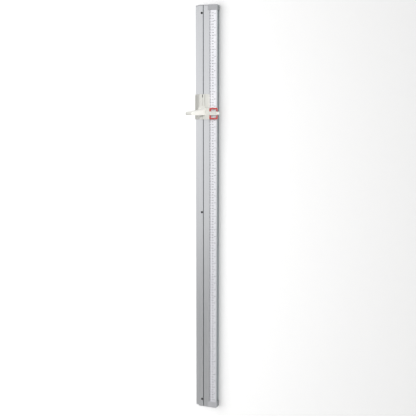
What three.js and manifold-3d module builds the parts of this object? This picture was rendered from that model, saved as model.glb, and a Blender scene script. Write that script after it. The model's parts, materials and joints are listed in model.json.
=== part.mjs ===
// Wall-mounted height measuring rod with a sliding headpiece.
// Millimetres. X runs to the right, Z runs up, and the wall is the plane Y = 0.
// Everything stands off the wall towards -Y. "p" below is that stand-off, so Y = -p.
import * as THREE from 'three';
import { mergeVertices } from 'three/addons/utils/BufferGeometryUtils.js';
import Module from 'manifold-3d';

const wasm = await Module();
wasm.setup();

// ---- Driving dimensions ----------------------------------------------------------------

const GAP = 0.3; // clearance between neighbouring pieces
const EDGE_BREAK = 0.4; // chamfer on an extruded corner
const SEAM = 0.8; // open line between the two halves of the headpiece's cover
const PAST = 1; // how far a cutting shape runs past the face that it opens

const RAIL = {
  half: 752.8, // half of the cut length of the extrusion
  left: -42.5,
  step: -28, // where the low flange ends and the deep box begins
  right: 44.5,
  flangeP: 12.5,
  frontP: 22.5,
  ridgeP: 23.1, // small ridges either side of the scale strip
  wall: 2.2,
};
const SLOT = { x: -9.3, halfWidth: 1.4, halfChannel: 3, lipP: 19.5, floorP: 11.5, side: 1.4 };
const STRIP = { x0: 15, x1: 42.3, p0: 22, p1: 22.5, half: 748, recessP: 21.7 };
const RIDGE = 2; // width of the ridge on the strip's left
const SIDE_GROOVE = { x: 41, p0: 5, p1: 17 };
const WEB_X = 12.9; // left face of the web under the strip's left edge
const PORT = { r: 1.75, bossR: 3.4, sides: 16, at: [[-22.6, 5.8], [35.8, 5.8]] };

const CAP = {
  left: -28,
  lipLeft: 9,
  right: 45.8,
  end: 756,
  plateIn: 753.1, // inner face of the plate over the rail's end
  backP: 0.4,
  lipP0: 23.4,
  lipP1: 25,
};
const CAP_TOP = { lipZ: 736.2, corner: 4, chamfer: [1.3, 3.6] }; // chamfer depth and height
const CAP_BOTTOM = { lipZ: 732.4, corner: 5.5, chamfer: [1.4, 5.2] };
const LUG = { z0: 744, wall: 1.6, backP: 3, frontP: 19.5 };
const CAP_SCREW = { length: 15.8, point: 1.5, pointR: 0.6, shankR: 1.35, headR: 2.75, driveR: 1.1 };

const FIXING = { x: -15.2, zs: [727, 0, -727], headR: 3.9, shankR: 2, headP: 22.4, neckP: 20.4, rim: 0.4 };
const FIXING_DRIVE = { r: 1.5, depth: 1.2 };

const HEAD = {
  x0: -21.5, // left edge of the front face, where the flank turns back
  x1: 16.4,
  z0: 344.5,
  z1: 436,
  backP: 23.6,
  cavityP: 29.2,
  frontP: 32,
  columnP: 34.5,
  columnX: 2.2,
  columnZ: 389,
  wall: 2,
  corner: 3,
};
const WING = { x0: -44.4, stepX: -30.4, riserX: -28.5, stepP: 25.5, p0: 13.1, p1: 15.1, corner: 2 };
const NOTCH = { half: 1.7, tipHalf: 0.9, depth: 8, tipDepth: 13 };
const PLATE = {
  x0: -22.6,
  x1: 2,
  under: 360,
  rootP: 32.3,
  tipP: 168,
  rootTop: 380,
  tipTop: 371.5,
  filletTop: 393,
};
const TIP = { planCorner: 4, underCorner: 2, edge: 2.5 };
const WINDOW = {
  x0: 17.1,
  x1: 46.8,
  z0: 345,
  z1: 386.3,
  bar: 5,
  legLeft: 4.4,
  legRight: 2.9,
  p0: 26.2,
  p1: 28.6,
  sideP: 24.5,
  side: 1.6,
  corner: 2.5,
  innerCorner: 1.6,
};
const LENS_THICKNESS = 1.4;
const ARM = {
  z0: 359.8,
  z1: 373.4,
  x1: 47.3,
  p1: 30,
  hookP: 7,
  hook: 2.1,
  corner: 3,
  tenonP0: 26.4,
  tenonP1: 29.6,
};
const ARM_PANEL = { left: 6.5, right: 7, depth: 0.8, margin: 2 };
const CARRIAGE = { x0: -21.8, x1: 13.6, p0: 25.8, p1: 28.8, z0: 347, z1: 433.5 };
const RUNNER = { z0: 350, z1: 430, headP0: 15, headP1: 19.2 };
const PAD = { halfX: 4.5, halfZ: 6, corner: 1.5, at: [[-16.6, 427], [4, 427], [-16.6, 353.5], [4, 353.5]] };
const SPRING = { length: 44, thickness: 0.4, bow: 1.9, halfWidth: 2.2, z: 390 };

// tip is how far each screw's point reaches from the wall
const HEAD_SCREWS = [
  { x: -17, z: 418, tip: 31.2 },
  { x: 8, z: 418, tip: 31.2 },
  { x: -17, z: 368, tip: 37.5 },
  { x: -1, z: 368, tip: 37.5 },
];
const HEAD_SCREW = { headR: 2.3, shankR: 1.1, pointR: 0.5, neck: 1.2, point: 0.8, driveR: 0.8 };

// ---- Geometry helpers ------------------------------------------------------------------

function solid(geometry) {
  const bare = new THREE.BufferGeometry();
  bare.setAttribute('position', geometry.getAttribute('position'));
  bare.setIndex(geometry.index);
  const merged = mergeVertices(bare, 1e-4);
  const index = merged.index.array;
  const kept = [];
  for (let i = 0; i < index.length; i += 3) {
    const [a, b, c] = [index[i], index[i + 1], index[i + 2]];
    if (a !== b && b !== c && a !== c) kept.push(a, b, c);
  }
  const mesh = new wasm.Mesh({
    numProp: 3,
    vertProperties: new Float32Array(merged.getAttribute('position').array),
    triVerts: new Uint32Array(kept),
  });
  return new wasm.Manifold(mesh);
}

function geometryOf(body) {
  const mesh = body.getMesh();
  const geometry = new THREE.BufferGeometry();
  geometry.setAttribute('position', new THREE.BufferAttribute(new Float32Array(mesh.vertProperties), 3));
  geometry.setIndex(new THREE.BufferAttribute(new Uint32Array(mesh.triVerts), 1));
  const flat = geometry.toNonIndexed();
  flat.computeVertexNormals();
  return flat;
}

// A box between two corners, given as [x, p, z] ranges.
function block(x0, x1, p0, p1, z0, z1) {
  const geometry = new THREE.BoxGeometry(x1 - x0, p1 - p0, z1 - z0);
  geometry.translate((x0 + x1) / 2, -(p0 + p1) / 2, (z0 + z1) / 2);
  return solid(geometry);
}

function outline(points) {
  return new THREE.Shape(points.map(([u, v]) => new THREE.Vector2(u, v)));
}

// A section in the X-P plane, drawn out along Z.
function upright(points, z0, z1) {
  const shape = outline(points.map(([x, p]) => [x, -p]));
  const geometry = new THREE.ExtrudeGeometry(shape, { depth: z1 - z0, bevelEnabled: false });
  geometry.translate(0, 0, z0);
  return solid(geometry);
}

// A front view in the X-Z plane, drawn out from p0 to p1.
function facing(points, p0, p1) {
  const geometry = new THREE.ExtrudeGeometry(outline(points), { depth: p1 - p0, bevelEnabled: false });
  geometry.rotateX(Math.PI / 2);
  geometry.translate(0, -p0, 0);
  return solid(geometry);
}

// A side view in the P-Z plane, drawn out from x0 to x1.
function sideways(points, x0, x1) {
  const geometry = new THREE.ExtrudeGeometry(outline(points), { depth: x1 - x0, bevelEnabled: false });
  const across = new THREE.Matrix4().makeBasis(
    new THREE.Vector3(0, -1, 0),
    new THREE.Vector3(0, 0, 1),
    new THREE.Vector3(-1, 0, 0),
  );
  geometry.applyMatrix4(across);
  geometry.translate(x1, 0, 0);
  return solid(geometry);
}

// A rectangle with its corners rounded by the radii [lower left, lower right, upper right, upper left].
function rounded(u0, u1, v0, v1, radii, steps = 5) {
  const corners = [
    [u0, v0, 1, 1, Math.PI],
    [u1, v0, -1, 1, Math.PI * 1.5],
    [u1, v1, -1, -1, 0],
    [u0, v1, 1, -1, Math.PI / 2],
  ];
  const points = [];
  corners.forEach(([u, v, du, dv, start], i) => {
    const r = radii[i];
    if (r === 0) {
      points.push([u, v]);
      return;
    }
    for (let k = 0; k <= steps; k += 1) {
      const a = start + (k / steps) * (Math.PI / 2);
      points.push([u + du * r + r * Math.cos(a), v + dv * r + r * Math.sin(a)]);
    }
  });
  return points;
}

// A turned shape from [radius, height] pairs that start and end on the axis.
function turned(profile, segments = 24) {
  const points = profile.map(([r, h]) => new THREE.Vector2(r, h));
  return solid(new THREE.LatheGeometry(points, segments));
}

function rodAlongZ(x, p, r, z0, z1, segments = 20) {
  return turned([[0, z0], [r, z0], [r, z1], [0, z1]], segments)
    .rotate([90, 0, 0])
    .translate([x, -p, 0]);
}

function rodAlongP(x, z, r, p0, p1, segments = 20) {
  return turned([[0, p0], [r, p0], [r, p1], [0, p1]], segments)
    .rotate([180, 0, 0])
    .translate([x, 0, z]);
}

// ---- Rail and what stays with it -------------------------------------------------------

function railBody() {
  const { x, halfWidth, halfChannel, lipP, floorP, side } = SLOT;
  const { left, step, right, flangeP, frontP, ridgeP, wall, half } = RAIL;
  const outer = [
    [left, 0],
    [right, 0],
    [right, SIDE_GROOVE.p0],
    [SIDE_GROOVE.x, SIDE_GROOVE.p0],
    [SIDE_GROOVE.x, SIDE_GROOVE.p1],
    [right, SIDE_GROOVE.p1],
    [right, ridgeP],
    [STRIP.x1 + GAP, ridgeP],
    [STRIP.x1 + GAP, STRIP.recessP],
    [STRIP.x0 - GAP, STRIP.recessP],
    [STRIP.x0 - GAP, ridgeP],
    [STRIP.x0 - GAP - RIDGE, ridgeP],
    [STRIP.x0 - GAP - RIDGE, frontP],
    [x + halfWidth, frontP],
    [x + halfWidth, lipP],
    [x + halfChannel, lipP],
    [x + halfChannel, floorP],
    [x - halfChannel, floorP],
    [x - halfChannel, lipP],
    [x - halfWidth, lipP],
    [x - halfWidth, frontP],
    [step, frontP],
    [step, flangeP],
    [left + EDGE_BREAK, flangeP],
    [left, flangeP - EDGE_BREAK],
  ];
  const innerLeft = x - halfChannel - side;
  const innerRight = x + halfChannel + side;
  const chambers = [
    [left + wall, step - wall, wall, flangeP - wall],
    [step + wall, innerLeft, wall, frontP - wall],
    [x - halfChannel, x + halfChannel, wall, floorP - wall],
    [innerRight, WEB_X, wall, frontP - wall],
    [WEB_X + wall, SIDE_GROOVE.x - wall, wall, STRIP.recessP - wall],
  ];
  let body = upright(outer, -half, half);
  for (const [x0, x1, p0, p1] of chambers) {
    body = body.subtract(block(x0, x1, p0, p1, -half - PAST, half + PAST));
  }
  for (const [px, pp] of PORT.at) {
    body = body.add(rodAlongZ(px, pp, PORT.bossR, -half, half, PORT.sides));
    body = body.subtract(rodAlongZ(px, pp, PORT.r, -half - PAST, half + PAST, PORT.sides));
  }
  for (const z of FIXING.zs) {
    body = body.subtract(rodAlongP(FIXING.x, z, FIXING.shankR + GAP, -PAST, frontP + PAST));
    body = body.subtract(countersink(FIXING.x, z, GAP));
  }
  return body;
}

// The cone under a fixing screw's head, grown by the clearance it needs.
function countersink(x, z, grow) {
  const { headR, shankR, neckP, headP, rim } = FIXING;
  return turned([
    [0, neckP - grow],
    [shankR + grow, neckP - grow],
    [headR + grow, headP - rim],
    [headR + grow, headP + PAST],
    [0, headP + PAST],
  ])
    .rotate([180, 0, 0])
    .translate([x, 0, z]);
}

function fixingScrew(z) {
  const { x, headR, shankR, neckP, headP, rim } = FIXING;
  const end = 0.4;
  const shaft = turned([
    [0, end],
    [shankR * 0.7, end],
    [shankR, end + 1.2],
    [shankR, neckP],
    [headR, headP - rim],
    [headR, headP],
    [0, headP],
  ])
    .rotate([180, 0, 0])
    .translate([x, 0, z]);
  return shaft.subtract(rodAlongP(x, z, FIXING_DRIVE.r, headP - FIXING_DRIVE.depth, headP + PAST, 6));
}

function scaleStrip() {
  return block(STRIP.x0, STRIP.x1, STRIP.p0, STRIP.p1, -STRIP.half, STRIP.half);
}

// An end cap for the top end: a plate over the rail's section with a lip over the scale strip.
function endCap({ lipZ, corner, chamfer }) {
  const { left, lipLeft, right, end, plateIn, backP, lipP0, lipP1 } = CAP;
  const front = rounded(left, right, lipZ, end, [0, 0, corner, 0]);
  let cap = facing(front, backP, lipP1);
  cap = cap.subtract(block(left - PAST, RAIL.right + GAP, -PAST, lipP0, lipZ - PAST, plateIn));
  cap = cap.subtract(block(left - PAST, lipLeft, RAIL.frontP, lipP1 + PAST, lipZ - PAST, end + PAST));
  cap = cap.subtract(lipChamfer(chamfer));
  cap = cap.add(block(RAIL.left, left + PAST, backP, RAIL.flangeP, plateIn, end));
  const slotCut = [SLOT.x - SLOT.halfWidth, SLOT.x + SLOT.halfWidth];
  cap = cap.subtract(block(...slotCut, SLOT.floorP, RAIL.frontP + PAST, plateIn - PAST, end + PAST));
  cap = addLugs(cap);
  for (const [x, p] of PORT.at) cap = cap.subtract(capScrewHole(x, p));
  return cap;
}

// Hollow lugs that reach from the cap's plate into the rail's chambers.
function addLugs(cap) {
  const { z0, wall, backP, frontP } = LUG;
  const { plateIn } = CAP;
  const places = [
    [SLOT.x + SLOT.halfChannel + SLOT.side + GAP, WEB_X - GAP, backP, frontP],
    [WEB_X + RAIL.wall + 1, PORT.at[1][0] - 2 * PORT.r - 2, backP, STRIP.recessP - RAIL.wall - GAP],
    [RAIL.step + 5, FIXING.x, PORT.at[0][1] + PORT.bossR + GAP + 1, frontP],
  ];
  let lugged = cap;
  for (const [x0, x1, p0, p1] of places) {
    lugged = lugged.add(block(x0, x1, p0, p1, z0, plateIn + PAST));
    lugged = lugged.subtract(block(x0 + wall, x1 - wall, p0 + wall, p1 - wall, z0 - PAST, plateIn));
  }
  return lugged;
}

// The slanted outer edge of a cap's lip.
function lipChamfer([depth, height]) {
  const { lipLeft, right, lipP1, end } = CAP;
  const corner = [
    [lipP1 - depth, end + 0.01],
    [lipP1 + PAST, end + 0.01],
    [lipP1 + PAST, end - height],
    [lipP1, end - height],
  ];
  return sideways(corner, lipLeft - PAST, right + PAST);
}

function capScrewHole(x, p) {
  const { plateIn, end } = CAP;
  const { shankR, headR } = CAP_SCREW;
  return turned([
    [0, plateIn - PAST],
    [shankR + GAP, plateIn - PAST],
    [shankR + GAP, plateIn + 0.2],
    [headR + GAP, end - 0.3],
    [headR + GAP, end + PAST],
    [0, end + PAST],
  ])
    .rotate([90, 0, 0])
    .translate([x, -p, 0]);
}

function capScrew(x, p) {
  const { plateIn, end } = CAP;
  const { length, point, pointR, shankR, headR, driveR } = CAP_SCREW;
  const top = end - 0.2;
  const screw = turned([
    [0, top - length],
    [pointR, top - length],
    [shankR, top - length + point],
    [shankR, plateIn + GAP],
    [headR, top - GAP],
    [headR, top],
    [0, top],
  ])
    .rotate([90, 0, 0])
    .translate([x, -p, 0]);
  return screw.subtract(rodAlongZ(x, p, driveR, top - 0.9, end + PAST, 6));
}

// ---- Headpiece -------------------------------------------------------------------------

function headScrew({ x, z, tip }) {
  const { headR, shankR, pointR, neck, point, driveR } = HEAD_SCREW;
  const back = CARRIAGE.p0 + 0.2;
  const screw = turned([
    [0, back],
    [headR, back],
    [shankR, back + neck],
    [shankR, tip - point],
    [pointR, tip],
    [0, tip],
  ])
    .rotate([180, 0, 0])
    .translate([x, 0, z]);
  return screw.subtract(rodAlongP(x, z, driveR, back - PAST, back + 0.7, 6));
}

function headScrewHole({ x, z, tip }) {
  const { headR, shankR, neck } = HEAD_SCREW;
  const back = CARRIAGE.p0;
  return turned([
    [0, back - PAST],
    [headR + 0.4, back - PAST],
    [headR + 0.4, back + 0.2],
    [shankR + 0.25, back + 0.4 + neck],
    [shankR + 0.25, tip + 0.2],
    [0, tip + 0.2],
  ])
    .rotate([180, 0, 0])
    .translate([x, 0, z]);
}

function withScrewHoles(body) {
  return HEAD_SCREWS.reduce((left, screw) => left.subtract(headScrewHole(screw)), body);
}

// The sliding plate behind the covers, with a T-shaped runner held in the rail's slot.
function carriage() {
  const { x0, x1, p0, p1, z0, z1 } = CARRIAGE;
  const { headP0, headP1 } = RUNNER;
  let body = facing(rounded(x0, x1, z0, z1, [2, 2, 2, 2]), p0, p1);
  const neck = SLOT.halfWidth - GAP;
  const wing = SLOT.halfChannel - GAP;
  body = body.add(block(SLOT.x - neck, SLOT.x + neck, headP0, p0 + PAST, RUNNER.z0, RUNNER.z1));
  body = body.add(block(SLOT.x - wing, SLOT.x + wing, headP0, headP1, RUNNER.z0, RUNNER.z1));
  return withScrewHoles(body);
}

function glidePad([x, z]) {
  const { halfX, halfZ, corner } = PAD;
  const radii = [corner, corner, corner, corner];
  const points = rounded(x - halfX, x + halfX, z - halfZ, z + halfZ, radii, 3);
  return facing(points, RAIL.frontP + GAP, CARRIAGE.p0 - GAP);
}

// A bowed steel leaf in the slot's channel that rubs on the channel floor.
function brakeSpring() {
  const { length, thickness, bow, halfWidth, z } = SPRING;
  const steps = 14;
  const low = SLOT.floorP + GAP + thickness;
  const front = [];
  const back = [];
  for (let i = 0; i <= steps; i += 1) {
    const t = i / steps;
    const p = low + bow * (1 - Math.sin(Math.PI * t));
    const height = z + (t - 0.5) * length;
    front.push([p + thickness / 2, height]);
    back.push([p - thickness / 2, height]);
  }
  return sideways([...front, ...back.reverse()], SLOT.x - halfWidth, SLOT.x + halfWidth);
}

// The open notch at the top of the seam.
function seamNotch() {
  const { half, tipHalf, depth, tipDepth } = NOTCH;
  const points = [
    [SLOT.x - half, HEAD.z1 + PAST],
    [SLOT.x - half, HEAD.z1 - depth],
    [SLOT.x - tipHalf, HEAD.z1 - tipDepth],
    [SLOT.x + tipHalf, HEAD.z1 - tipDepth],
    [SLOT.x + half, HEAD.z1 - depth],
    [SLOT.x + half, HEAD.z1 + PAST],
  ];
  return facing(points, HEAD.backP - PAST, HEAD.columnP + PAST);
}

// The left half of the cream cover. Its flank turns back and steps down to a wing over the flange.
function coverLeft() {
  const { x0, z0, z1, backP, cavityP, frontP, wall } = HEAD;
  const wing = WING;
  const seam = SLOT.x - SEAM / 2;
  const section = [
    [seam, frontP],
    [x0, frontP],
    [wing.stepX, wing.stepP],
    [wing.stepX, wing.p1],
    [wing.x0, wing.p1],
    [wing.x0, wing.p0],
    [wing.riserX, wing.p0],
    [wing.riserX, backP],
    [seam, backP],
  ];
  let cover = upright(section, z0, z1);
  const rounding = rounded(wing.x0, seam, z0, z1, [wing.corner, 0, 0, wing.corner]);
  cover = cover.intersect(facing(rounding, wing.p0 - PAST, frontP + PAST));
  const flankSlope = (frontP - wing.stepP) / (x0 - wing.stepX);
  const cavityX = wing.riserX + wall;
  const cavity = [
    [seam + PAST, backP - PAST],
    [seam + PAST, cavityP],
    [x0 - 0.7, cavityP],
    [cavityX, cavityP - (x0 - 0.7 - cavityX) * flankSlope],
    [cavityX, backP - PAST],
  ];
  cover = cover.subtract(upright(cavity, z0 + wall, z1 - wall));
  return withScrewHoles(cover.subtract(seamNotch()));
}

// The right half of the cream cover, with its raised column.
function coverRight() {
  const { x1, z0, z1, backP, cavityP, frontP, wall, corner, columnX, columnZ, columnP } = HEAD;
  const seam = SLOT.x + SEAM / 2;
  let cover = facing(rounded(seam, x1, z0, z1, [0, corner, corner, 0]), backP, frontP);
  cover = cover.subtract(block(seam - PAST, x1 - wall, backP - PAST, cavityP, z0 + wall, z1 - wall));
  const column = rounded(columnX, x1, columnZ, z1, [1, 1, corner, 1.5]);
  cover = cover.add(facing(column, frontP - PAST, columnP));
  cover = cover.subtract(seamNotch());
  cover = cover.subtract(armTenon(x1 - wall - PAST, x1 + PAST, 0));
  return withScrewHoles(cover);
}

// The plate that rests on the head: level underneath and thinner towards its tip.
function measuringPlate() {
  const { x0, x1, under, rootP, tipP, rootTop, tipTop, filletTop } = PLATE;
  const { planCorner, underCorner, edge } = TIP;
  const profile = [
    [rootP, under],
    [tipP - underCorner, under],
    [tipP, under + underCorner],
    [tipP, tipTop - edge],
    [tipP - edge * 0.3, tipTop - edge * 0.3],
    [tipP - edge, tipTop],
  ];
  const filletR = filletTop - rootTop;
  const steps = 6;
  for (let i = 0; i <= steps; i += 1) {
    const a = (i / steps) * (Math.PI / 2);
    profile.push([rootP + 2 + filletR * (1 - Math.sin(a)), filletTop - filletR * Math.cos(a)]);
  }
  profile.push([rootP, filletTop]);
  const plan = rounded(x0, x1, rootP - PAST, tipP, [0, 0, planCorner, planCorner]);
  const plate = sideways(profile, x0, x1).intersect(upright(plan, under - PAST, filletTop + PAST));
  return withScrewHoles(plate);
}

// ---- Reading window --------------------------------------------------------------------

// The tongue that plugs the window arm into the right cover, slimmed by the fit on each side.
function armTenon(x0, x1, fit) {
  const { z0, z1, tenonP0, tenonP1 } = ARM;
  return block(x0, x1, tenonP0 + fit, tenonP1 - fit, z0 + 1 + fit, z1 - 1 - fit);
}

// A red bracket: one cross bar with a short leg at each end, and a rim down its right side.
function bracket(z0, z1, radii, opening) {
  const { x0, x1, legLeft, legRight, p0, p1, sideP, side } = WINDOW;
  const front = rounded(x0, x1, z0, z1, radii);
  const rim = block(x1 - side, x1 + PAST, sideP, p0 + PAST, z0 - PAST, z1 + PAST);
  let body = facing(front, p0, p1);
  body = body.add(rim.intersect(facing(front, sideP - PAST, p1)));
  return body.subtract(facing(opening(x0 + legLeft, x1 - legRight), p0 - PAST, p1 + PAST));
}

function bracketUpper() {
  const { z1, bar, corner, innerCorner } = WINDOW;
  const low = ARM.z1 + GAP;
  const radii = [0, 0, innerCorner, innerCorner];
  const opening = (u0, u1) => rounded(u0, u1, low - PAST, z1 - bar, radii, 4);
  return bracket(low, z1, [0, 0, corner, corner], opening);
}

function bracketLower() {
  const { z0, bar, corner, innerCorner } = WINDOW;
  const high = ARM.z0 - GAP;
  const radii = [innerCorner, innerCorner, 0, 0];
  const opening = (u0, u1) => rounded(u0, u1, z0 + bar, high + PAST, radii, 4);
  return bracket(z0, high, [corner, corner, 0, 0], opening);
}

// The cream arm across the window. Its end wraps round the side of the rail.
function windowArm() {
  const { z0, z1, x1, p1, hookP, hook, corner } = ARM;
  const { p0 } = WINDOW;
  const x0 = HEAD.x1 + GAP;
  const front = [
    [x0, z0],
    [x1 - corner, z0],
    [x1, z0 + corner],
    [x1, z1 - corner],
    [x1 - corner, z1],
    [x0, z1],
  ];
  let arm = facing(front, p0, p1);
  arm = arm.add(armTenon(HEAD.x1 - HEAD.wall + GAP, x0 + PAST, GAP));
  arm = arm.add(block(x1 - hook, x1, hookP, p0 + PAST, z0 + corner, z1 - corner));
  const { left, right, depth, margin } = ARM_PANEL;
  return arm.subtract(block(x0 + left, x1 - right, p1 - depth, p1 + PAST, z0 + margin, z1 - margin));
}

function windowLens() {
  const { x0, x1, z0, z1, p0, side } = WINDOW;
  const margin = 0.5;
  const points = rounded(x0 + margin, x1 - side - GAP, z0 + margin, z1 - margin, [2, 2, 2, 2], 4);
  return facing(points, p0 - GAP - LENS_THICKNESS, p0 - GAP);
}

// A small runner in the rail's side groove, carried by the end of the window arm.
function sideGlider() {
  const { x, p0, p1 } = SIDE_GROOVE;
  const points = rounded(x + GAP, ARM.x1 - ARM.hook - GAP, p0 + GAP, p1 - GAP, [1, 0, 0, 1], 3);
  return upright(points, ARM.z0 + 0.5, ARM.z1 - 0.5);
}

// ---- Materials and assembly ------------------------------------------------------------

function material(color, roughness, metalness) {
  return new THREE.MeshStandardMaterial({ color, roughness, metalness });
}

const MATERIALS = {
  anodised: material(0xb9bcc0, 0.42, 0.9),
  capPlastic: material(0xb4b5ba, 0.55, 0),
  stripPrint: material(0xe6e7ee, 0.6, 0),
  blackSteel: material(0x17181a, 0.45, 0.6),
  zincSteel: material(0x9a9c9e, 0.4, 0.9),
  springSteel: material(0x8b8f94, 0.3, 1),
  cream: material(0xe9e7dd, 0.5, 0),
  darkPlastic: material(0x3a3c3e, 0.6, 0),
  palePlastic: material(0xd8d8d2, 0.5, 0),
  red: material(0xd23a3f, 0.45, 0),
  clear: material(0xf3f6f7, 0.15, 0),
};

const assembly = new THREE.Group();
assembly.name = 'wall_height_rod';

function addPiece(name, body, slot) {
  const mesh = new THREE.Mesh(geometryOf(body), MATERIALS[slot]);
  mesh.name = name;
  assembly.add(mesh);
}

function addRailGroup() {
  addPiece('rail_profile', railBody(), 'anodised');
  addPiece('scale_strip', scaleStrip(), 'stripPrint');
  addPiece('end_cap_top', endCap(CAP_TOP), 'capPlastic');
  addPiece('end_cap_bottom', endCap(CAP_BOTTOM).mirror([0, 0, 1]), 'capPlastic');
  PORT.at.forEach(([x, p], i) => {
    addPiece(`cap_screw_top_${i + 1}`, capScrew(x, p), 'zincSteel');
    addPiece(`cap_screw_bottom_${i + 1}`, capScrew(x, p).mirror([0, 0, 1]), 'zincSteel');
  });
  ['top', 'middle', 'bottom'].forEach((place, i) => {
    addPiece(`wall_screw_${place}`, fixingScrew(FIXING.zs[i]), 'blackSteel');
  });
}

function addHeadGroup() {
  addPiece('carriage', carriage(), 'darkPlastic');
  PAD.at.forEach((place, i) => addPiece(`glide_pad_${i + 1}`, glidePad(place), 'palePlastic'));
  addPiece('brake_spring', brakeSpring(), 'springSteel');
  addPiece('cover_left', coverLeft(), 'cream');
  addPiece('cover_right', coverRight(), 'cream');
  addPiece('measuring_plate', measuringPlate(), 'cream');
  HEAD_SCREWS.forEach((screw, i) => addPiece(`head_screw_${i + 1}`, headScrew(screw), 'zincSteel'));
}

function addWindowGroup() {
  addPiece('window_arm', windowArm(), 'cream');
  addPiece('window_bracket_upper', bracketUpper(), 'red');
  addPiece('window_bracket_lower', bracketLower(), 'red');
  addPiece('window_lens', windowLens(), 'clear');
  addPiece('side_glider', sideGlider(), 'palePlastic');
}

addRailGroup();
addHeadGroup();
addWindowGroup();

export default assembly;
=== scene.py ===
"""Wall height measuring rod: materials, printed scale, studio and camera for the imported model.

Metres, in the model's own frame: +X right, +Z up, and the wall is the plane Y = 0.
"""
import json
import math

import bmesh
import bpy
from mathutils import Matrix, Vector


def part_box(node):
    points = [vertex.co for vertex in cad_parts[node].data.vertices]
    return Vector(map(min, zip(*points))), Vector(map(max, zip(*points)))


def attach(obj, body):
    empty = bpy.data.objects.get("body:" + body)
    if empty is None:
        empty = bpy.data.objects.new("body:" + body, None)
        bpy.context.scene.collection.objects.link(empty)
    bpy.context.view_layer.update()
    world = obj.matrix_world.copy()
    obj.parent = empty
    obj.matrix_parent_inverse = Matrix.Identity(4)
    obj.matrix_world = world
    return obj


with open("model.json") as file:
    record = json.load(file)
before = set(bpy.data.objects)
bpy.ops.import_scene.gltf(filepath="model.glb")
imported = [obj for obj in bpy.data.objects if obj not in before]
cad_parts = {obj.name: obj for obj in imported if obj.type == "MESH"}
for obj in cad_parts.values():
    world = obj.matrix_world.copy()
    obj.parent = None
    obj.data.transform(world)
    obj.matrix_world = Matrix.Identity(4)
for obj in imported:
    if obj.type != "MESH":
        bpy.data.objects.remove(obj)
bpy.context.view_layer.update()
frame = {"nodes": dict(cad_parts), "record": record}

NODES = frame["nodes"]
MM = 0.001

# ---- Camera -------------------------------------------------------------------------------

CAMERA_TURN = math.radians(20.0)  # to the right of the rail
CAMERA_RISE = math.radians(7.25)  # above the rail's middle
CAMERA_DISTANCE = 2.854
CAMERA_LENS = 65.65
CAMERA_SHIFT = (0.0005, 0.0087)
CAMERA_CLIP = (0.05, 60.0)

# ---- Light --------------------------------------------------------------------------------

# Softboxes: place, aim, size (wide, tall) and power. The key comes from the upper right, the card
# is what the metal mirrors, and the wash lights only the wall, so the rod's shade falls to its right.
KEY = {"at": (1.30, -0.92, 0.98), "aim": (0.0, 0.0, 0.1), "size": (0.42, 0.42), "power": 19.5}
CARD = {"at": (-0.85, -2.2, 0.40), "aim": (0.0, 0.0, 0.05), "size": (1.6, 1.9), "power": 6.8}
WASH = {"at": (-0.86, -1.23, 0.1), "aim": (0.0, 0.0, 0.0), "size": (1.9, 2.8), "power": 27.0}
NOT_KEYED = ("rail_profile", "end_cap_top", "end_cap_bottom")
WORLD_STRENGTH = 0.5

# ---- Printed scale ------------------------------------------------------------------------

# Readings are in millimetres.
STRIP_LOW_READING = 600.0
STRIP_LOW_Z = -0.734
INCH = 25.4
INK_LIFT = 0.08 * MM
TICK_MARGIN = 0.5 * MM  # from the strip's edge to the ticks' outer ends

# Ticks as (length, half thickness), by how many steps lie between two of the same rank.
CM_TICKS = {
    "step": 1.0,
    "ranks": {10: (4.4 * MM, 0.5 * MM), 5: (3.7 * MM, 0.26 * MM), 1: (3.0 * MM, 0.22 * MM)},
}
INCH_TICKS = {
    "step": INCH / 8,
    "ranks": {
        8: (4.0 * MM, 0.22 * MM),
        4: (3.2 * MM, 0.12 * MM),
        2: (2.6 * MM, 0.12 * MM),
        1: (2.0 * MM, 0.12 * MM),
    },
}

# Numerals end at this distance from the strip's left edge.
CM_NUMERALS = {"step": 10.0, "size": 6.2 * MM, "end": 15.8 * MM}
INCH_NUMERALS = {"step": INCH, "size": 4.8 * MM, "end": 22.2 * MM}
DIGITS = "0123456789"
# As shares of the numerals' size.
DIGIT_GAP = 0.09
DIGIT_MIDDLE = 0.35
NUMERAL_ROOM = 0.4

# ---- Stage --------------------------------------------------------------------------------

FLOOR_Z = STRIP_LOW_Z - STRIP_LOW_READING * MM  # where the scale would read zero
FLOOR_REACH = 20.0
WALL_REACH = 3.0
WALL_Y = 0.3 * MM
WALL_OVERLAP = 2 * MM  # how far the wall runs in behind the rail's edges
WALL_TONE = (0.9, 0.9, 0.9, 1.0)
WALL_GLOW = 0.19

# ---- Tones and edges ----------------------------------------------------------------------

# Painted shade: faces that look left or right fade from their front tone to a darker side tone as the X
# part of their normal crosses this band.
SIDE_SHADE_BAND = (0.75, 0.95)

# Low and high tone, and what else differs from the usual moulding.
PLASTICS = {
    "cap_plastic": {
        "tones": ((0.74, 0.745, 0.78), (0.80, 0.805, 0.84)),
        # Painted shade: darker tones for the cap's faces that look left or right.
        "shaded_side_tones": ((0.27, 0.29, 0.30), (0.32, 0.34, 0.35)),
    },
    "cream_plastic": {"tones": ((0.77, 0.765, 0.72), (0.82, 0.815, 0.77))},
    "dark_plastic": {"tones": ((0.025, 0.027, 0.03), (0.045, 0.047, 0.05))},
    "pale_plastic": {"tones": ((0.68, 0.68, 0.64), (0.76, 0.76, 0.72)), "roughness": (0.3, 0.42)},
    "red_plastic": {"tones": ((0.57, 0.040, 0.038), (0.68, 0.058, 0.054)), "roughness": (0.28, 0.4)},
}
FLOOR_FINISH = {
    "tones": ((0.75, 0.75, 0.74), (0.79, 0.79, 0.78)),
    "roughness": (0.5, 0.6),
    "grain": 60.0,
    "depth": 0.2 * MM,
}
STEELS = {
    "zinc_steel": {"tones": ((0.48, 0.49, 0.50), (0.62, 0.62, 0.60)), "roughness": (0.25, 0.45)},
    "spring_steel": {"tones": ((0.40, 0.41, 0.43), (0.52, 0.53, 0.55)), "roughness": (0.15, 0.3)},
}

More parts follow.
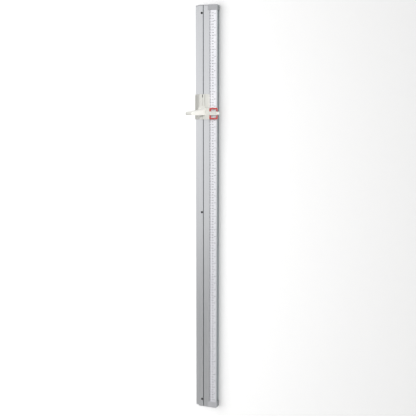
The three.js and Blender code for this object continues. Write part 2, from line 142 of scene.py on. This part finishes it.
EDGE_BREAKS = {
    "rail_profile": 0.25 * MM,
    "end_cap_top": 0.5 * MM,
    "end_cap_bottom": 0.5 * MM,
    "cover_left": 0.6 * MM,
    "cover_right": 0.6 * MM,
    "measuring_plate": 0.5 * MM,
    "window_arm": 0.35 * MM,
    "window_bracket_upper": 0.4 * MM,
    "window_bracket_lower": 0.4 * MM,
    "window_lens": 0.2 * MM,
    "side_glider": 0.3 * MM,
    "carriage": 0.3 * MM,
}
EDGE_ANGLE = math.radians(35.0)


# ---- Material helper ----------------------------------------------------------------------

MIX_TYPES = {"VALUE": "FLOAT", "RGBA": "RGBA"}  # the mix node's name for each kind of socket


class Recipe:
    """A material being built: keeps the tree and adds nodes by short calls."""

    def __init__(self, name):
        self.material = bpy.data.materials.new(name)
        self.material.use_nodes = True
        self.tree = self.material.node_tree
        self.surface = self.tree.nodes["Principled BSDF"]
        self.coords = self.tree.nodes.new("ShaderNodeTexCoord").outputs

    def node(self, kind, **settings):
        made = self.tree.nodes.new(kind)
        for key, value in settings.items():
            setattr(made, key, value)
        return made

    def link(self, source, target):
        self.tree.links.new(source, target)

    def noise(self, scale, detail, stretch=(1, 1, 1)):
        mapping = self.node("ShaderNodeMapping")
        mapping.inputs["Scale"].default_value = stretch
        self.link(self.coords["Object"], mapping.inputs["Vector"])
        noise = self.node("ShaderNodeTexNoise")
        noise.inputs["Scale"].default_value = scale
        noise.inputs["Detail"].default_value = detail
        self.link(mapping.outputs["Vector"], noise.inputs["Vector"])
        return noise.outputs["Fac"]

    def ramp(self, source, tones, band=(0.3, 0.7)):
        """Turns a 0 to 1 value into a colour, from the first tone to the second."""
        ramp = self.node("ShaderNodeValToRGB")
        for end, position, tone in zip(ramp.color_ramp.elements, band, tones):
            end.position = position
            end.color = (*tone, 1.0)
        self.link(source, ramp.inputs["Fac"])
        return ramp.outputs["Color"]

    def spread(self, source, low, high):
        """Maps a 0 to 1 value to low to high."""
        remap = self.node("ShaderNodeMapRange")
        remap.inputs["To Min"].default_value = low
        remap.inputs["To Max"].default_value = high
        self.link(source, remap.inputs["Value"])
        return remap.outputs["Result"]

    def sideways(self):
        """Mask for the painted side shade: 1 on faces that look left or right, 0 on faces that look
        forward, up or down.
        """
        parts = self.node("ShaderNodeSeparateXYZ")
        self.link(self.coords["Normal"], parts.inputs["Vector"])
        size = self.node("ShaderNodeMath", operation="ABSOLUTE")
        self.link(parts.outputs["X"], size.inputs["Value"])
        edge = self.node("ShaderNodeMapRange")
        edge.inputs["From Min"].default_value, edge.inputs["From Max"].default_value = SIDE_SHADE_BAND
        self.link(size.outputs["Value"], edge.inputs["Value"])
        return edge.outputs["Result"]

    def mixed(self, share, first, second):
        """Two values or two colours, mixed. The mix node has separate sockets for each kind."""
        kind = first.type
        mix = self.node("ShaderNodeMix", data_type=MIX_TYPES[kind])
        a, b = [socket for socket in mix.inputs if socket.name in ("A", "B") and socket.type == kind]
        if isinstance(share, float):
            mix.inputs["Factor"].default_value = share
        else:
            self.link(share, mix.inputs["Factor"])
        self.link(first, a)
        self.link(second, b)
        return next(socket for socket in mix.outputs if socket.type == kind)

    def bump(self, source, strength, distance):
        bump = self.node("ShaderNodeBump")
        bump.inputs["Strength"].default_value = strength
        bump.inputs["Distance"].default_value = distance
        self.link(source, bump.inputs["Height"])
        self.link(bump.outputs["Normal"], self.surface.inputs["Normal"])

    def set(self, **values):
        for key, value in values.items():
            self.surface.inputs[key.replace("_", " ")].default_value = value

    def feed(self, source, socket):
        self.link(source, self.surface.inputs[socket])


# ---- Materials ----------------------------------------------------------------------------


def anodised_aluminium():
    """Satin anodised extrusion: fine die lines along its length, faint clouds, and a painted shade that
    darkens the faces looking left or right.
    """
    m = Recipe("anodised_aluminium")
    lines = m.noise(scale=900.0, detail=2.0, stretch=(1, 1, 0.004))
    cloud = m.noise(scale=9.0, detail=4.0, stretch=(1, 1, 0.3))
    drift = m.mixed(0.35, lines, cloud)
    face = m.ramp(drift, ((0.69, 0.70, 0.725), (0.78, 0.79, 0.81)))
    # Painted shade: darker tones for the faces that look left or right.
    shaded_side_tone = m.ramp(drift, ((0.50, 0.56, 0.575), (0.58, 0.64, 0.655)))
    m.feed(m.mixed(m.sideways(), face, shaded_side_tone), "Base Color")
    m.feed(m.spread(lines, 0.34, 0.46), "Roughness")
    m.set(Metallic=1.0)
    m.bump(lines, strength=0.12, distance=0.05 * MM)
    return m.material


def moulded(name, tones, shaded_side_tones=None, roughness=(0.42, 0.55), grain=1400.0, depth=0.04 * MM):
    """Injection-moulded plastic: a spark-eroded grain and a slight drift of tone.

    The optional second pair of tones is painted shade, for the faces that look left or right.
    """
    m = Recipe(name)
    fine = m.noise(scale=grain, detail=2.0)
    drift = m.noise(scale=22.0, detail=3.0)
    tone = m.ramp(drift, tones)
    # Painted shade on the faces that look left or right.
    if shaded_side_tones:
        tone = m.mixed(m.sideways(), tone, m.ramp(drift, shaded_side_tones))
    m.feed(tone, "Base Color")
    m.feed(m.spread(fine, *roughness), "Roughness")
    m.bump(fine, strength=0.25, distance=depth)
    return m.material


def strip_paper():
    """The printed strip's ground: bluish white under a thin clear film."""
    m = Recipe("strip_ground")
    fibre = m.noise(scale=700.0, detail=3.0)
    drift = m.noise(scale=14.0, detail=2.0)
    m.feed(m.ramp(drift, ((0.90, 0.90, 0.955), (0.94, 0.94, 0.985))), "Base Color")
    m.feed(m.spread(fibre, 0.30, 0.42), "Roughness")
    m.set(Coat_Weight=0.25, Coat_Roughness=0.2)
    m.bump(fibre, strength=0.05, distance=0.02 * MM)
    return m.material


def ink(name, tones):
    """Printing ink with a faint speckle."""
    m = Recipe(name)
    speck = m.noise(scale=2200.0, detail=2.0)
    m.feed(m.ramp(speck, tones), "Base Color")
    m.feed(m.spread(speck, 0.35, 0.5), "Roughness")
    return m.material


def bright_steel(name, tones, roughness):
    """Plated or bare steel with faint blotches."""
    m = Recipe(name)
    blotch = m.noise(scale=420.0, detail=4.0)
    m.feed(m.ramp(blotch, tones), "Base Color")
    m.feed(m.spread(blotch, *roughness), "Roughness")
    m.set(Metallic=1.0)
    m.bump(blotch, strength=0.1, distance=0.03 * MM)
    return m.material


def black_steel():
    """Steel under a dull black oxide that scatters light like paint."""
    m = Recipe("black_oxide_steel")
    wear = m.noise(scale=650.0, detail=5.0)
    tones = ((0.004, 0.004, 0.005), (0.014, 0.014, 0.015))
    m.feed(m.ramp(wear, tones, band=(0.35, 0.8)), "Base Color")
    m.feed(m.spread(wear, 0.55, 0.8), "Roughness")
    m.set(Specular_IOR_Level=0.15)
    m.bump(wear, strength=0.15, distance=0.03 * MM)
    return m.material


def clear_plastic():
    """A thin clear window. It is see-through by alpha, so that the scale under it stays bright."""
    m = Recipe("clear_plastic")
    ripple = m.noise(scale=60.0, detail=2.0)
    m.feed(m.spread(ripple, 0.05, 0.12), "Roughness")
    m.feed(m.ramp(ripple, ((0.95, 0.96, 0.96), (0.98, 0.98, 0.98))), "Base Color")
    m.set(Alpha=0.22, IOR=1.49)
    m.bump(ripple, strength=0.04, distance=0.2 * MM)
    return m.material


def one_sided_white():
    """The wall's paint. Its back is clear, so that the rail can be seen from behind."""
    material = bpy.data.materials.new("wall_white")
    material.use_nodes = True
    tree = material.node_tree
    tree.nodes.clear()
    paint = tree.nodes.new("ShaderNodeBsdfDiffuse")
    paint.inputs["Color"].default_value = WALL_TONE
    glow = tree.nodes.new("ShaderNodeEmission")
    glow.inputs["Strength"].default_value = WALL_GLOW
    front = tree.nodes.new("ShaderNodeAddShader")
    clear = tree.nodes.new("ShaderNodeBsdfTransparent")
    side = tree.nodes.new("ShaderNodeNewGeometry")
    choose = tree.nodes.new("ShaderNodeMixShader")
    out = tree.nodes.new("ShaderNodeOutputMaterial")
    tree.links.new(paint.outputs[0], front.inputs[0])
    tree.links.new(glow.outputs[0], front.inputs[1])
    tree.links.new(side.outputs["Backfacing"], choose.inputs[0])
    tree.links.new(front.outputs[0], choose.inputs[1])
    tree.links.new(clear.outputs[0], choose.inputs[2])
    tree.links.new(choose.outputs[0], out.inputs[0])
    return material


def dress_nodes():
    """Gives each CAD node its material, by the record's material slot."""
    by_slot = {
        "anodised": anodised_aluminium(),
        "strip_print": strip_paper(),
        "black_steel": black_steel(),
        "clear_plastic": clear_plastic(),
    }
    for slot, finish in PLASTICS.items():
        by_slot[slot] = moulded(slot, **finish)
    for slot, finish in STEELS.items():
        by_slot[slot] = bright_steel(slot, **finish)
    for part in frame["record"]["subparts"]:
        mesh = NODES[part["node"]].data
        mesh.materials.clear()
        mesh.materials.append(by_slot[part["material_slot"]])


def break_edges():
    """Rounds the sharp edges a little, as moulding and tumbling do."""
    for name, width in EDGE_BREAKS.items():
        bevel = NODES[name].modifiers.new("edge_break", "BEVEL")
        bevel.width = width
        bevel.segments = 2
        bevel.limit_method = "ANGLE"
        bevel.angle_limit = EDGE_ANGLE
        bevel.use_clamp_overlap = True


# ---- Printed ticks and numerals -----------------------------------------------------------


def object_from(mesh, name, material):
    """Turns a bmesh into an object in the scene."""
    data = bpy.data.meshes.new(name)
    mesh.to_mesh(data)
    mesh.free()
    data.materials.append(material)
    item = bpy.data.objects.new(name, data)
    bpy.context.scene.collection.objects.link(item)
    return item


def print_piece(name, mesh, material):
    piece = object_from(mesh, name, material)
    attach(piece, "wall_rail")


def reading_z(reading):
    """Height on the rail of a reading."""
    return STRIP_LOW_Z + (reading - STRIP_LOW_READING) * MM


def marks(step, low, high):
    """Yields each whole number of steps whose mark falls between two heights, with the mark's height."""
    count = 1
    while reading_z(count * step) < high:
        if reading_z(count * step) > low:
            yield count, reading_z(count * step)
        count += 1


def print_ticks(name, layout, edge_x, inward, strip, material):
    """Ticks from one edge of the strip. inward is 1 from the left edge and -1 from the right one."""
    mesh = bmesh.new()
    ranks = layout["ranks"]
    for count, z in marks(layout["step"], strip["low"], strip["high"]):
        length, half = ranks[max(rank for rank in ranks if count % rank == 0)]
        x0, x1 = sorted((edge_x, edge_x + inward * length))
        corners = [(x0, z - half), (x1, z - half), (x1, z + half), (x0, z + half)]
        mesh.faces.new([mesh.verts.new((x, strip["y"], z)) for x, z in corners])
    print_piece(name, mesh, material)


def digit_shapes(size):
    """The ten digits as points and faces, with their left and right ends, set in Blender's own font."""
    shapes = {}
    for digit in DIGITS:
        curve = bpy.data.curves.new("digit", "FONT")
        curve.body = digit
        curve.size = size
        curve.resolution_u = 2
        text = bpy.data.objects.new("digit", curve)
        bpy.context.scene.collection.objects.link(text)
        bpy.context.view_layer.update()
        mesh = bpy.data.meshes.new_from_object(text)
        points = [v.co.copy() for v in mesh.vertices]
        faces = [list(p.vertices) for p in mesh.polygons]
        xs = [p.x for p in points]
        shapes[digit] = (points, faces, min(xs), max(xs))
        bpy.data.objects.remove(text)
        bpy.data.curves.remove(curve)
        bpy.data.meshes.remove(mesh)
    return shapes


def write_number(mesh, shapes, number, x_end, y, z_middle, size):
    """Writes a number that ends at x_end, from its last digit to its first."""
    pen = x_end
    z_low = z_middle - size * DIGIT_MIDDLE
    for digit in reversed(str(number)):
        points, faces, left, right = shapes[digit]
        pen -= right - left
        made = [mesh.verts.new((pen + p.x - left, y, z_low + p.y)) for p in points]
        for face in faces:
            mesh.faces.new([made[i] for i in face])
        pen -= size * DIGIT_GAP


def print_numerals(name, layout, strip, material):
    size = layout["size"]
    room = size * NUMERAL_ROOM
    shapes = digit_shapes(size)
    mesh = bmesh.new()
    for count, z in marks(layout["step"], strip["low"] + room, strip["high"] - room):
        write_number(mesh, shapes, count, strip["left"] + layout["end"], strip["y"], z, size)
    print_piece(name, mesh, material)


def print_scale():
    """Prints the strip between the lips of the two end caps."""
    low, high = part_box("scale_strip")
    strip = {
        "left": low.x,
        "y": low.y - INK_LIFT,
        "low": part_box("end_cap_bottom")[1].z,
        "high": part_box("end_cap_top")[0].z,
    }
    dark = ink("tick_ink", ((0.05, 0.05, 0.07), (0.12, 0.12, 0.15)))
    grey = ink("numeral_ink", ((0.13, 0.13, 0.15), (0.22, 0.22, 0.25)))
    print_ticks("centimetre_ticks", CM_TICKS, low.x + TICK_MARGIN, 1, strip, dark)
    print_ticks("inch_ticks", INCH_TICKS, high.x - TICK_MARGIN, -1, strip, dark)
    print_numerals("centimetre_numerals", CM_NUMERALS, strip, grey)
    print_numerals("inch_numerals", INCH_NUMERALS, strip, grey)


# ---- Studio -------------------------------------------------------------------------------


def build_wall():
    """A wall plane round the rail. It is open behind the rail, which covers the opening."""
    low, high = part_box("rail_profile")
    xs = [-WALL_REACH, low.x + WALL_OVERLAP, high.x - WALL_OVERLAP, WALL_REACH]
    zs = [FLOOR_Z, low.z + WALL_OVERLAP, high.z - WALL_OVERLAP, WALL_REACH]
    mesh = bmesh.new()
    grid = [[mesh.verts.new((x, WALL_Y, z)) for x in xs] for z in zs]
    for row in range(3):
        for column in range(3):
            if row == 1 and column == 1:
                continue
            a, b = grid[row][column], grid[row][column + 1]
            c, d = grid[row + 1][column + 1], grid[row + 1][column]
            mesh.faces.new([a, b, c, d])
    wall = object_from(mesh, "wall", one_sided_white())
    return wall


def build_floor():
    mesh = bmesh.new()
    bmesh.ops.create_grid(mesh, x_segments=1, y_segments=1, size=FLOOR_REACH)
    bmesh.ops.translate(mesh, verts=mesh.verts, vec=(0, 0, FLOOR_Z))
    floor = object_from(mesh, "floor", moulded("floor_pale", **FLOOR_FINISH))
    return floor


def add_softbox(name, recipe, receivers):
    """A soft area light that falls only on the receivers. Everything casts shade in it."""
    light = bpy.data.lights.new(name, "AREA")
    light.shape = "RECTANGLE"
    light.size, light.size_y = recipe["size"]
    light.energy = recipe["power"]
    lamp = bpy.data.objects.new(name, light)
    lamp.location = recipe["at"]
    aim = Vector(recipe["aim"]) - Vector(recipe["at"])
    lamp.rotation_euler = aim.to_track_quat("-Z", "Y").to_euler()
    lamp.visible_camera = False
    bpy.context.scene.collection.objects.link(lamp)
    lit = bpy.data.collections.new(name + "_lights")
    for item in receivers:
        lit.objects.link(item)
    lamp.light_linking.receiver_collection = lit


def add_softboxes(wall, floor):
    rod = [item for item in bpy.data.objects if item.type == "MESH" and item not in (wall, floor)]
    not_keyed = [NODES[name] for name in NOT_KEYED]
    add_softbox("key", KEY, [item for item in rod if item not in not_keyed])
    add_softbox("card", CARD, rod)
    add_softbox("wash", WASH, [wall])


def light_world():
    world = bpy.data.worlds.new("studio")
    world.use_nodes = True
    background = world.node_tree.nodes["Background"]
    background.inputs["Color"].default_value = (1.0, 1.0, 1.0, 1.0)
    background.inputs["Strength"].default_value = WORLD_STRENGTH
    bpy.context.scene.world = world


def add_camera():
    data = bpy.data.cameras.new("camera")
    data.lens = CAMERA_LENS
    data.shift_x, data.shift_y = CAMERA_SHIFT
    data.clip_start, data.clip_end = CAMERA_CLIP
    camera = bpy.data.objects.new("camera", data)
    back = Vector((
        math.sin(CAMERA_TURN) * math.cos(CAMERA_RISE),
        -math.cos(CAMERA_TURN) * math.cos(CAMERA_RISE),
        math.sin(CAMERA_RISE),
    ))
    camera.location = back * CAMERA_DISTANCE
    camera.rotation_euler = back.to_track_quat("Z", "Y").to_euler()
    bpy.context.scene.collection.objects.link(camera)
    bpy.context.scene.camera = camera


bpy.context.scene.view_settings.view_transform = "Standard"
add_camera()
light_world()
dress_nodes()
break_edges()
print_scale()
add_softboxes(build_wall(), build_floor())
